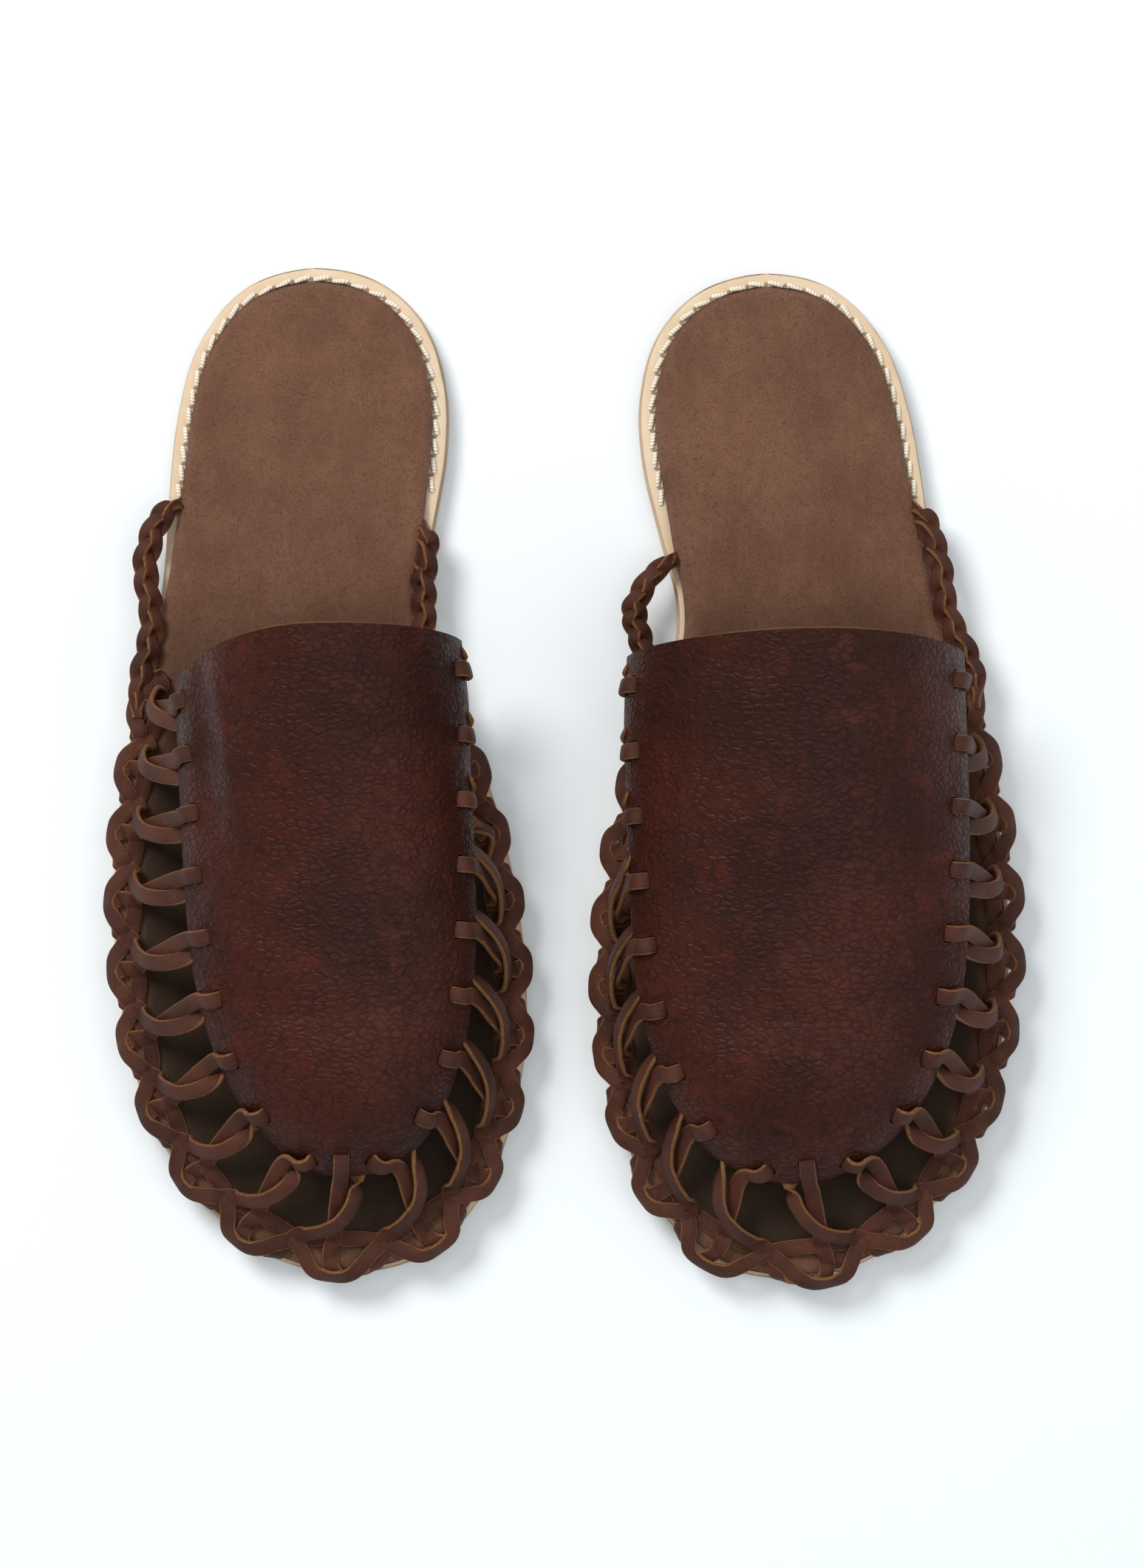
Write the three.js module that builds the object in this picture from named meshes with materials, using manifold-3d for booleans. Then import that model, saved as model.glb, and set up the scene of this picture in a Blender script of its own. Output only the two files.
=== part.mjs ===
// A pair of laced leather mules: millimetres, +Z up, heels towards +Y, toes towards -Y.
// Each shoe is drawn in its own frame: x is the inner (medial) side of the foot, "fore" runs
// from the back of the heel to the toe, and the ground is z = 0.
import * as THREE from 'three';
import { mergeVertices } from 'three/addons/utils/BufferGeometryUtils.js';
import Module from 'manifold-3d';

const wasm = await Module();
wasm.setup();

// Driving dimensions
const soleLength = 272;
const soleWidth = 110;
const outsoleThickness = 4;
const outsoleOverhang = 0.6;
const midsoleThickness = 4;
const insoleBoardThickness = 1.2;
const insoleBoardInset = 9;
const footbedThickness = 2.2;
const heelRimWidth = 3.7;
const ballRimWidth = 1.2;
const rimNarrowsFrom = 50;
const rimNarrowsTo = 88;
const vampThickness = 1.8;
const instepHeight = 62;
const fanHeight = 37;
const vampSideHeight = 24;
const vampToeHeight = 15;
const toplineFore = 98;
const fanFore = 200;
const laceWidth = 4.6;
const laceThickness = 1.5;
const cellsPerShoe = 19;
const eyeletFromEdge = 8;
const threadRadius = 0.6;
const threadFromFootbed = 1.6;
const stitchChannelDepth = 1.6;
const loopOut = laceThickness / 2 + 1.85;
const loopTurnOut = laceThickness / 2 + 0.15;
const seamFrontFore = 62;
const outerRootFore = 70;
const innerRootFore = 81;
const rootOut = 3.1;
const tailBendFore = 88;
const lacingStartFore = 112;
const clearance = 0.3;
const slotClearance = 1;
const legLift = 1.2;
const legSlack = 2.1;
const edgeTurn = 1.4;
const outerChainInset = 4.2;
const innerChainInset = outerChainInset + laceWidth + 1.2;
const innerTailOut = 3;
const outerTailOut = innerTailOut + laceWidth + 1.4;
const outerTailZ = 11;
const innerTailZ = 14.2;
const mergeLift = 0.8;
const outerMergeOut = 3;
const innerMergeOut = outerMergeOut - 1.3 * laceWidth - 0.42;
const heelSpacing = 127;
const toesOutTwist = THREE.MathUtils.degToRad(2);
const leftShoeSetBack = -1.4;

// Heights of the stack, from the ground up
const midsoleBottom = outsoleThickness + clearance;
const midsoleTop = midsoleBottom + midsoleThickness;
const boardBottom = midsoleTop + clearance;
const footbedBottom = boardBottom + insoleBoardThickness + clearance;
const footbedTop = footbedBottom + footbedThickness;
const chainLaceZ = footbedTop + clearance + laceThickness / 2;
const vampLaceZ = chainLaceZ + laceThickness + legLift;

// Sole outline, as shares of the sole's width and length, from the heel along the outer side
// to the toe and back along the inner side
const soleShape = [
  [0.018, 0], [-0.146, 0.018], [-0.264, 0.072], [-0.321, 0.143], [-0.349, 0.221],
  [-0.372, 0.309], [-0.423, 0.397], [-0.482, 0.493], [-0.518, 0.603], [-0.518, 0.699],
  [-0.486, 0.79], [-0.418, 0.868], [-0.3, 0.938], [-0.146, 0.985], [0.045, 1],
  [0.214, 0.983], [0.35, 0.93], [0.432, 0.857], [0.473, 0.779], [0.477, 0.691],
  [0.45, 0.599], [0.395, 0.507], [0.318, 0.43], [0.268, 0.371], [0.259, 0.324],
  [0.295, 0.257], [0.331, 0.184], [0.333, 0.121], [0.286, 0.059], [0.18, 0.016],
];

// Lower edges of the vamp about its spine, from the topline to the tip of the toe, in the same shares
const vampOuterEdge = [
  [-0.375, 0.386], [-0.375, 0.434], [-0.375, 0.493], [-0.373, 0.551], [-0.369, 0.618],
  [-0.359, 0.68], [-0.336, 0.735], [-0.295, 0.787], [-0.236, 0.831], [-0.155, 0.868],
  [-0.068, 0.89], [0, 0.897],
];
const vampInnerEdge = [
  [0.362, 0.379], [0.373, 0.434], [0.374, 0.493], [0.375, 0.551], [0.375, 0.607],
  [0.373, 0.669], [0.358, 0.724], [0.327, 0.779], [0.282, 0.824], [0.209, 0.868],
  [0.109, 0.892], [0, 0.897],
];
const spineMargin = 0.02;

// The two shoes of a handmade pair differ a little
const rightShoeShape = { vampSpread: 0.92, vampShift: 0.021, outerCornerDrop: 7 };
const leftShoeShape = { vampSpread: 1.08, vampShift: -0.004, outerCornerDrop: 0 };

const finishes = {
  outsole: { color: 0xc9a27c, roughness: 0.75, metalness: 0 },
  midsole: { color: 0xe1c09b, roughness: 0.7, metalness: 0 },
  board: { color: 0x9a7350, roughness: 0.9, metalness: 0 },
  footbed: { color: 0x7a5545, roughness: 0.95, metalness: 0 },
  vamp: { color: 0x52291f, roughness: 0.5, metalness: 0 },
  lace: { color: 0x5e3424, roughness: 0.6, metalness: 0 },
  thread: { color: 0xf5ebd7, roughness: 0.8, metalness: 0 },
};

// ---------------------------------------------------------------- curves

function curveThrough(shares, closed) {
  const points = shares.map(([x, fore]) => new THREE.Vector3(x * soleWidth, -fore * soleLength, 0));
  return new THREE.CatmullRomCurve3(points, closed, 'centripetal');
}

const soleCurve = curveThrough(soleShape, true);

function rimWidthAt(fore) {
  const share = THREE.MathUtils.smoothstep(fore, rimNarrowsFrom, rimNarrowsTo);
  return THREE.MathUtils.lerp(heelRimWidth, ballRimWidth, share);
}

// The sole outline moved inwards by inset(fore), as a closed list of points
function outline(count, inset) {
  const points = [];
  for (let i = 0; i < count; i += 1) {
    const share = i / count;
    const point = soleCurve.getPointAt(share);
    const tangent = soleCurve.getTangentAt(share);
    const inwards = new THREE.Vector3(-tangent.y, tangent.x, 0);
    points.push(point.addScaledVector(inwards, inset(-point.y)));
  }
  return points;
}

// One lengthwise half of the footbed's edge, from heel to toe, measured by fore
const footbedEdge = outline(360, rimWidthAt);
const toeIndex = footbedEdge.reduce((best, p, i, all) => (p.y < all[best].y ? i : best), 0);
const heelIndex = footbedEdge.reduce((best, p, i, all) => (p.y > all[best].y ? i : best), 0);

function edgeHalf(side) {
  const total = footbedEdge.length;
  const steps = side < 0 ? (toeIndex - heelIndex + total) % total : (heelIndex - toeIndex + total) % total;
  const half = [];
  for (let i = 0; i <= steps; i += 1) {
    half.push(footbedEdge[(heelIndex + (side < 0 ? i : -i) + 2 * total) % total]);
  }
  return half;
}

const edgeHalves = { outer: edgeHalf(-1), inner: edgeHalf(1) };

// A point beside the footbed's edge at a fore position, out past the edge and at height z
function besideFootbed(halfName, fore, out, z) {
  const half = edgeHalves[halfName];
  let i = 0;
  while (i < half.length - 2 && -half[i + 1].y < fore) i += 1;
  const along = half[i + 1].clone().sub(half[i]);
  const share = THREE.MathUtils.clamp((fore + half[i].y) / -along.y, 0, 1);
  const point = half[i].clone().addScaledVector(along, share);
  along.normalize();
  const outwards = halfName === 'outer'
    ? new THREE.Vector3(along.y, -along.x, 0)
    : new THREE.Vector3(-along.y, along.x, 0);
  point.addScaledVector(outwards, out);
  return new THREE.Vector3(point.x, point.y, z);
}

// The laced stretch of the footbed's edge, from the outer side round the toe to the inner side
const lacedEdge = new THREE.CatmullRomCurve3(
  [
    ...edgeHalves.outer.filter((p) => -p.y >= lacingStartFore),
    ...edgeHalves.inner.filter((p) => -p.y >= lacingStartFore).reverse(),
  ].filter((p, i) => i % 4 === 0),
  false,
  'centripetal',
);

function lacedEdgeFrame(share) {
  const point = lacedEdge.getPointAt(share);
  const along = lacedEdge.getTangentAt(share);
  const outwards = new THREE.Vector3(along.y, -along.x, 0);
  return { point, along, outwards };
}

// Where a leg of the lace that starts at this point of the vamp's edge meets the footbed's edge:
// halfway between the nearest point and the cell's even share of the whole edge
function legFoot(edgePoint, evenShare) {
  const samples = 240;
  let nearest = 0;
  let least = Infinity;
  for (let i = 0; i <= samples; i += 1) {
    const point = lacedEdge.getPointAt(i / samples);
    const distance = Math.hypot(point.x - edgePoint.x, point.y - edgePoint.y);
    if (distance < least) {
      least = distance;
      nearest = i / samples;
    }
  }
  return (evenShare + nearest) / 2;
}

// ---------------------------------------------------------------- solids

function mesh(name, geometry, finish) {
  const item = new THREE.Mesh(geometry, new THREE.MeshStandardMaterial(finishes[finish]));
  item.name = name;
  return item;
}

function toSolid(geometry) {
  const bare = geometry.clone();
  bare.deleteAttribute('normal');
  bare.deleteAttribute('uv');
  const merged = mergeVertices(bare, 1e-3);
  return new wasm.Manifold(new wasm.Mesh({
    numProp: 3,
    vertProperties: new Float32Array(merged.attributes.position.array),
    triVerts: new Uint32Array(merged.index.array),
  }));
}

function fromSolid(solid) {
  const result = solid.getMesh();
  const geometry = new THREE.BufferGeometry();
  geometry.setAttribute('position', new THREE.BufferAttribute(result.vertProperties, 3));
  geometry.setIndex(new THREE.BufferAttribute(result.triVerts, 1));
  return geometry;
}

function slab(points, bottom, thickness) {
  const shape = new THREE.Shape(points.map((p) => new THREE.Vector2(p.x, p.y)));
  const geometry = new THREE.ExtrudeGeometry(shape, { depth: thickness, bevelEnabled: false });
  return geometry.translate(0, 0, bottom);
}

// A flat band along its stations (each a point and a widthwise direction), joined from a convex
// length between each station's section and the next
function band(stations, width, thickness) {
  const corners = [[-1, -1], [1, -1], [1, 1], [-1, 1]];
  const sections = stations.map((station, i) => {
    const before = stations[Math.max(i - 1, 0)].point;
    const after = stations[Math.min(i + 1, stations.length - 1)].point;
    const along = after.clone().sub(before).normalize();
    const across = station.width.clone().addScaledVector(along, -station.width.dot(along)).normalize();
    const up = along.clone().cross(across);
    return corners.map(([x, z]) => station.point.clone()
      .addScaledVector(across, (x * width) / 2)
      .addScaledVector(up, (z * thickness) / 2)
      .toArray());
  });
  const lengths = sections.slice(1).map((section, i) =>
    wasm.Manifold.hull([...sections[i], ...section]));
  const whole = wasm.Manifold.union(lengths);
  // Sections that lie in one plane can leave flakes of no volume beside the band itself
  return whole.decompose().reduce((a, b) => (a.volume() > b.volume() ? a : b));
}

function strap(stations) {
  return fromSolid(band(stations, laceWidth, laceThickness));
}

function cord(points, radius, steps) {
  const section = new THREE.Shape().absarc(0, 0, radius, 0, 2 * Math.PI);
  const path = new THREE.CatmullRomCurve3(points);
  return new THREE.ExtrudeGeometry(section, {
    steps,
    curveSegments: 3,
    extrudePath: path,
    bevelEnabled: false,
  });
}

// ---------------------------------------------------------------- sole

// Seam line round the heel, beside the footbed, from the outer to the inner side
function seamPoints(z) {
  const fores = [seamFrontFore, 45, 29, 15, 6];
  const outer = fores.map((fore) => besideFootbed('outer', fore, threadFromFootbed, z));
  const inner = fores.map((fore) => besideFootbed('inner', fore, threadFromFootbed, z)).reverse();
  const back = footbedEdge[heelIndex].clone().add(new THREE.Vector3(0, threadFromFootbed, 0)).setZ(z);
  return [...outer, back, ...inner];
}

// A square-sided trench along the seam, open at the bottom
function stitchChannel(halfWidth) {
  const path = new THREE.CatmullRomCurve3(seamPoints((stitchChannelDepth - 1) / 2));
  const past = (share, sign) => path.getPointAt(share)
    .addScaledVector(path.getTangentAt(share), sign * (halfWidth + clearance));
  const points = [past(0, -1), ...path.getSpacedPoints(28), past(1, 1)];
  const up = new THREE.Vector3(0, 0, 1);
  return band(points.map((point) => ({ point, width: up })), stitchChannelDepth + 1, 2 * halfWidth);
}

function outsole() {
  const body = toSolid(slab(outline(48, () => -outsoleOverhang), 0, outsoleThickness));
  return fromSolid(body.subtract(stitchChannel(threadRadius + clearance)));
}

function midsole() {
  return slab(outline(48, () => 0), midsoleBottom, midsoleThickness);
}

function insoleBoard() {
  return slab(outline(36, (fore) => rimWidthAt(fore) + insoleBoardInset), boardBottom, insoleBoardThickness);
}

function footbed() {
  return slab(outline(48, rimWidthAt), footbedBottom, footbedThickness);
}

// ---------------------------------------------------------------- vamp

function vampEdgePoint(curve, share, shape, drop) {
  const point = curve.getPointAt(share);
  point.x = point.x * shape.vampSpread + shape.vampShift * soleWidth;
  point.y -= drop * (1 - share) ** 6;
  return point;
}

const outerEdgeCurve = curveThrough(vampOuterEdge, false);
const innerEdgeCurve = curveThrough(vampInnerEdge, false);
const toeRow = 0.975;
const outerArch = THREE.MathUtils.degToRad(68);
const innerArch = THREE.MathUtils.degToRad(80);
const toeArch = THREE.MathUtils.degToRad(66);

// Height of the vamp's ridge above the footbed, falling from the instep and rounding over the toe
function ridgeHeight(fore) {
  if (fore <= fanFore) {
    const share = THREE.MathUtils.clamp((fore - toplineFore) / (fanFore - toplineFore), 0, 1);
    return instepHeight + (fanHeight - instepHeight) * (1.25 * share - 0.25 * share * share);
  }
  const tipFore = vampOuterEdge.at(-1)[1] * soleLength;
  const reach = Math.min((fore - fanFore) / (tipFore - fanFore), 1);
  const angle = Math.asin(reach * Math.sin(toeArch));
  return fanHeight - (fanHeight - vampToeHeight) * (1 - Math.cos(angle)) / (1 - Math.cos(toeArch));
}

// The vamp's middle surface: row 0 is the topline and 1 the toe, across -1 is the outer edge
function vampPoint(shape, row, across) {
  const share = row * toeRow;
  const outer = vampEdgePoint(outerEdgeCurve, share, shape, shape.outerCornerDrop);
  const inner = vampEdgePoint(innerEdgeCurve, share, shape, 0);
  const edge = across < 0 ? outer : inner;
  const arch = across < 0 ? outerArch : innerArch;
  const corners = -(outerEdgeCurve.getPointAt(0).y + innerEdgeCurve.getPointAt(0).y) / 2;
  const lift = (corners + shape.outerCornerDrop / 2 - toplineFore) * (1 - share) ** 3;
  const spine = new THREE.Vector3((outer.x + inner.x) / 2, (outer.y + inner.y) / 2 + lift, 0);
  const toeBlend = THREE.MathUtils.smoothstep(share, 0.45, 1);
  const edgeHeight = THREE.MathUtils.lerp(vampSideHeight, vampToeHeight, toeBlend);
  const topHeight = Math.max(ridgeHeight(-spine.y), edgeHeight);
  const angle = Math.abs(across) * arch;
  const reach = Math.sin(angle) / Math.sin(arch);
  const fall = (1 - Math.cos(angle)) / (1 - Math.cos(arch));
  return new THREE.Vector3(
    spine.x + (edge.x - spine.x) * reach,
    spine.y + (edge.y - spine.y) * fall,
    footbedTop + topHeight - (topHeight - edgeHeight) * fall,
  );
}

function vampNormal(shape, row, across) {
  const step = 0.01;
  const low = Math.max(row - step, 0);
  const high = Math.min(row + step, 1);
  const alongRows = vampPoint(shape, high, across).sub(vampPoint(shape, low, across));
  const alongArch = vampPoint(shape, row, Math.min(across + step, 1))
    .sub(vampPoint(shape, row, Math.max(across - step, -1)));
  return alongRows.cross(alongArch).normalize();
}

// A thin box bent onto the vamp's surface
function vampSheet(shape) {
  const rows = 20;
  const columns = 12;
  const sheet = new THREE.BoxGeometry(2, 1, 1, columns, rows, 1);
  const position = sheet.attributes.position;
  for (let i = 0; i < position.count; i += 1) {
    const across = THREE.MathUtils.clamp(position.getX(i), -1, 1);
    const row = 0.5 - position.getY(i);
    const normal = vampNormal(shape, row, across);
    const point = vampPoint(shape, row, across)
      .addScaledVector(normal, position.getZ(i) * vampThickness);
    position.setXYZ(i, point.x, point.y, point.z);
  }
  return sheet;
}

// Walks in from the vamp's edge, along its arch or, at the toe's tip, up its spine, to a slot's middle
function eyelet(shape, cell) {
  const share = (cell + 0.5) / cellsPerShoe;
  const side = share <= 0.5 ? -1 : 1;
  const atTip = cell === (cellsPerShoe - 1) / 2;
  const edgeRow = Math.min((side < 0 ? 2 * share : 2 - 2 * share) / toeRow, 1);
  const edge = vampPoint(shape, edgeRow, atTip ? 0 : side);
  let row = edgeRow;
  let across = atTip ? 0 : side;
  let point = edge;
  while (point.distanceTo(edge) < eyeletFromEdge && Math.abs(across) > spineMargin === !atTip) {
    if (atTip) row -= 0.005;
    else across -= 0.01 * side;
    point = vampPoint(shape, row, across);
  }
  const normal = vampNormal(shape, row, across);
  const outwards = edge.clone().sub(point);
  outwards.addScaledVector(normal, -outwards.dot(normal)).normalize();
  return { point, edge, normal, outwards, along: normal.clone().cross(outwards).normalize() };
}

function eyelets(shape) {
  return Array.from({ length: cellsPerShoe }, (_, cell) => eyelet(shape, cell));
}

function slotCutter({ point, normal, along, outwards }) {
  const cutter = new THREE.BoxGeometry(
    laceWidth + 2 * slotClearance,
    2 * laceThickness + 2 * slotClearance,
    6 * vampThickness,
  );
  const frame = new THREE.Matrix4().makeBasis(along, outwards, normal).setPosition(point);
  if (frame.determinant() < 0) frame.makeBasis(along.clone().negate(), outwards, normal).setPosition(point);
  return toSolid(cutter.applyMatrix4(frame));
}

function vamp(shape) {
  let sheet = toSolid(vampSheet(shape));
  eyelets(shape).forEach((hole) => {
    sheet = sheet.subtract(slotCutter(hole));
  });
  return fromSolid(sheet);
}

// ---------------------------------------------------------------- laces

// One long lace: under the vamp's edge, up through an eyelet, out over the edge and the chain,
// round the footbed's edge and back to the next eyelet
function vampLace(shape) {
  const stations = [];
  const holes = eyelets(shape);
  const offset = (vampThickness + laceThickness) / 2 + legSlack;
  const add = (point, width) => stations.push({ point, width });
  const up = new THREE.Vector3(0, 0, 1);
  const loopZ = midsoleTop + clearance + laceWidth / 2 + legSlack;
  const legOuterInset = outerChainInset - laceWidth / 4;
  const legInnerInset = innerChainInset + laceWidth / 4;
  let lastShare = 0;
  holes.forEach((hole, cell) => {
    const share = legFoot(hole.edge, (cell + 0.5) / cellsPerShoe);
    const legShare = 0.24 / cellsPerShoe;
    const inFrame = lacedEdgeFrame(Math.max(share - legShare, 0));
    const loopFrame = lacedEdgeFrame((share + lastShare) / 2);
    const outFrame = lacedEdgeFrame(Math.min(share + legShare, 1));
    const width = hole.along.clone();
    if (width.dot(inFrame.along) < 0) width.negate();
    const rim = (frame, out, z) => frame.point.clone().addScaledVector(frame.outwards, out).setZ(z);
    if (cell > 0) {
      add(rim(loopFrame, loopOut, loopZ), up.clone());
      add(rim(inFrame, loopOut, loopZ), up.clone());
      add(rim(inFrame, loopTurnOut, vampLaceZ + 0.2), up.clone().add(inFrame.along));
    }
    add(rim(inFrame, -legOuterInset, vampLaceZ), inFrame.along.clone());
    add(rim(inFrame, -legInnerInset, vampLaceZ), inFrame.along.clone());
    add(hole.edge.clone().addScaledVector(hole.normal, -offset), width);
    add(hole.point.clone().addScaledVector(hole.normal, -offset), width);
    add(hole.point.clone().addScaledVector(hole.normal, offset), width);
    const overEdge = hole.edge.clone().addScaledVector(hole.normal, offset);
    add(overEdge.addScaledVector(hole.outwards, edgeTurn), width);
    add(rim(outFrame, -legInnerInset, vampLaceZ), outFrame.along.clone());
    add(rim(outFrame, -legOuterInset, vampLaceZ), outFrame.along.clone());
    if (cell < cellsPerShoe - 1) {
      add(rim(outFrame, loopTurnOut, vampLaceZ + 0.2), up.clone().add(outFrame.along));
      add(rim(outFrame, loopOut, loopZ), up.clone());
    }
    lastShare = share;
  });
  return strap(stations);
}

const outerChain = {
  inset: outerChainInset,
  tailOut: outerTailOut,
  tailZ: outerTailZ,
  mergeOut: outerMergeOut,
  rootFore: outerRootFore,
};
const innerChain = {
  inset: innerChainInset,
  tailOut: innerTailOut,
  tailZ: innerTailZ,
  mergeOut: innerMergeOut,
  rootFore: innerRootFore,
};

// A lace of the chain along the footbed's edge, with its two tails brought back along the waist
// and let into the side of the sole
function chainLace({ inset, tailOut, tailZ, mergeOut, rootFore }) {
  const stations = [];
  const add = (point, width) => stations.push({ point, width });
  const up = new THREE.Vector3(0, 0, 1);
  const side = (from, to) => up.clone().cross(to.clone().sub(from)).normalize();
  const rootZ = boardBottom + laceThickness / 2 + clearance;
  const tail = (halfName) => [
    besideFootbed(halfName, rootFore, rootOut, rootZ),
    besideFootbed(halfName, rootFore + 4, 0.25 * rootOut + 0.75 * tailOut, rootZ + 0.5),
    besideFootbed(halfName, tailBendFore, tailOut, tailZ),
    besideFootbed(halfName, tailBendFore + 10, tailOut, tailZ),
    besideFootbed(halfName, tailBendFore + 18, mergeOut, chainLaceZ + mergeLift),
  ];
  const middle = [];
  const steps = 34;
  for (let i = 0; i <= steps; i += 1) {
    const share = 0.02 + 0.96 * (i / steps);
    const frame = lacedEdgeFrame(share);
    middle.push(frame.point.clone().addScaledVector(frame.outwards, -inset).setZ(chainLaceZ));
  }
  const points = [...tail('outer'), ...middle, ...tail('inner').reverse()];
  points.forEach((point, i) => {
    const before = points[Math.max(i - 1, 0)];
    const after = points[Math.min(i + 1, points.length - 1)];
    add(point, side(before, after));
  });
  return strap(stations);
}

// ---------------------------------------------------------------- the pair

function shoe(prefix, shape) {
  const group = new THREE.Group();
  const threadTopZ = midsoleTop + clearance + threadRadius;
  const threadBottomZ = stitchChannelDepth - clearance - threadRadius;
  group.add(mesh(`${prefix}_outsole`, outsole(), 'outsole'));
  group.add(mesh(`${prefix}_midsole`, midsole(), 'midsole'));
  group.add(mesh(`${prefix}_insole_board`, insoleBoard(), 'board'));
  group.add(mesh(`${prefix}_footbed`, footbed(), 'footbed'));
  group.add(mesh(`${prefix}_seam_top_thread`, cord(seamPoints(threadTopZ), threadRadius, 26), 'thread'));
  group.add(mesh(`${prefix}_seam_lower_thread`, cord(seamPoints(threadBottomZ), threadRadius, 26), 'thread'));
  group.add(mesh(`${prefix}_vamp`, vamp(shape), 'vamp'));
  group.add(mesh(`${prefix}_vamp_lace`, vampLace(shape), 'lace'));
  group.add(mesh(`${prefix}_chain_lace_outer`, chainLace(outerChain), 'lace'));
  group.add(mesh(`${prefix}_chain_lace_inner`, chainLace(innerChain), 'lace'));
  return group;
}

// Turns a shoe's geometry into its mirror image, with its faces still pointing out
function mirror(group) {
  group.children.forEach((item) => {
    const bare = item.geometry.clone().deleteAttribute('uv').deleteAttribute('normal');
    const geometry = mergeVertices(bare, 1e-4);
    geometry.scale(-1, 1, 1);
    const index = geometry.index.array;
    for (let i = 0; i < index.length; i += 3) {
      [index[i], index[i + 1]] = [index[i + 1], index[i]];
    }
    item.geometry = geometry;
  });
  return group;
}

const rightShoe = shoe('right', rightShoeShape);
const leftShoe = mirror(shoe('left', leftShoeShape));
rightShoe.position.set(-heelSpacing / 2, 0, 0);
leftShoe.position.set(heelSpacing / 2, leftShoeSetBack, 0);
rightShoe.rotation.z = toesOutTwist;
leftShoe.rotation.z = toesOutTwist;

const pair = new THREE.Group();
pair.add(rightShoe, leftShoe);
pair.updateMatrixWorld(true);
const box = new THREE.Box3().setFromObject(pair, true);
const centre = box.getCenter(new THREE.Vector3());
pair.position.set(-centre.x, -centre.y, 0);
pair.updateMatrixWorld(true);

export default pair;
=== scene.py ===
"""A pair of laced leather mules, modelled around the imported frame.

Each shoe is drawn in its own frame in millimetres: x towards the inner side of the foot, y = 0 at
the back of the heel and negative towards the toe, z up from the ground. Shoe.matrix puts it in place.
"""
import math

import bmesh
import bpy
from mathutils import Matrix, Vector, noise


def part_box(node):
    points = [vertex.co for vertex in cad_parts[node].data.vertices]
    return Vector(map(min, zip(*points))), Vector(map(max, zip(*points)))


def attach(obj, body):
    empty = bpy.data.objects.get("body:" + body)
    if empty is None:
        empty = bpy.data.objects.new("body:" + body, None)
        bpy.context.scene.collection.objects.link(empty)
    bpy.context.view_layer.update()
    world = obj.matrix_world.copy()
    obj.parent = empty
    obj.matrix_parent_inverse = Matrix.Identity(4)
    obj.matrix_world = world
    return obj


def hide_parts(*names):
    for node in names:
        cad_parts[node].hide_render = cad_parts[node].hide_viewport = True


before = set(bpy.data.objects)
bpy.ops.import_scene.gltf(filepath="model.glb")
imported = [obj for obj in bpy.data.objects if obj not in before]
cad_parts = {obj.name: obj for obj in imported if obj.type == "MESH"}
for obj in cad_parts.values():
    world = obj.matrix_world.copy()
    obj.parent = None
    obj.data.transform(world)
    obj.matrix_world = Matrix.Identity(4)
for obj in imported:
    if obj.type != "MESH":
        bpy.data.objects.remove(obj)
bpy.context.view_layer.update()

MM = 0.001
UP = Vector((0, 0, 1))

# Sizes of the pieces, in millimetres. They are the frame's, but the straps are drawn a little slimmer.
SOLE_LENGTH = 272
SOLE_WIDTH = 110
VAMP_THICKNESS = 1.8
LACE_WIDTH = 4.3
LACE_THICKNESS = 1.45
TAIL_WIDTH = LACE_WIDTH * 0.85
PLAIT_LENGTH = 22
STITCH_LENGTH = 5.2
HEEL_RIM = 3.7
BALL_RIM = 1.2
RIM_NARROWS_FROM = 50
RIM_NARROWS_TO = 88
CELLS = 19
EYELET_FROM_EDGE = 8
TOPLINE_FORE = 98
FAN_FORE = 200
INSTEP_HEIGHT = 62
FAN_HEIGHT = 37
VAMP_SIDE_HEIGHT = 24
VAMP_TOE_HEIGHT = 15
LACING_START_FORE = 112
TWIST = math.radians(2)
TOE_ROW = 0.975

SOLE_SHAPE = [
    (0.018, 0), (-0.146, 0.018), (-0.264, 0.072), (-0.321, 0.143), (-0.349, 0.221),
    (-0.372, 0.309), (-0.423, 0.397), (-0.482, 0.493), (-0.518, 0.603), (-0.518, 0.699),
    (-0.486, 0.79), (-0.418, 0.868), (-0.3, 0.938), (-0.146, 0.985), (0.045, 1),
    (0.214, 0.983), (0.35, 0.93), (0.432, 0.857), (0.473, 0.779), (0.477, 0.691),
    (0.45, 0.599), (0.395, 0.507), (0.318, 0.43), (0.268, 0.371), (0.259, 0.324),
    (0.295, 0.257), (0.331, 0.184), (0.333, 0.121), (0.286, 0.059), (0.18, 0.016),
]
VAMP_OUTER_EDGE = [
    (-0.375, 0.386), (-0.375, 0.434), (-0.375, 0.493), (-0.373, 0.551), (-0.369, 0.618),
    (-0.359, 0.68), (-0.336, 0.735), (-0.295, 0.787), (-0.236, 0.831), (-0.155, 0.868),
    (-0.068, 0.89), (0, 0.897),
]
VAMP_INNER_EDGE = [
    (0.362, 0.379), (0.373, 0.434), (0.374, 0.493), (0.375, 0.551), (0.375, 0.607),
    (0.373, 0.669), (0.358, 0.724), (0.327, 0.779), (0.282, 0.824), (0.209, 0.868),
    (0.109, 0.892), (0, 0.897),
]
ARCH = {-1: math.radians(68), 1: math.radians(80)}
TOE_ARCH = math.radians(66)


def mix(a, b, share):
    return a + (b - a) * share


def clamp(value, low=0.0, high=1.0):
    return max(low, min(high, value))


def smoothstep(value, low, high):
    share = clamp((value - low) / (high - low))
    return share * share * (3 - 2 * share)


# ---------------------------------------------------------------- runs: smooth lines with a length

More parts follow.
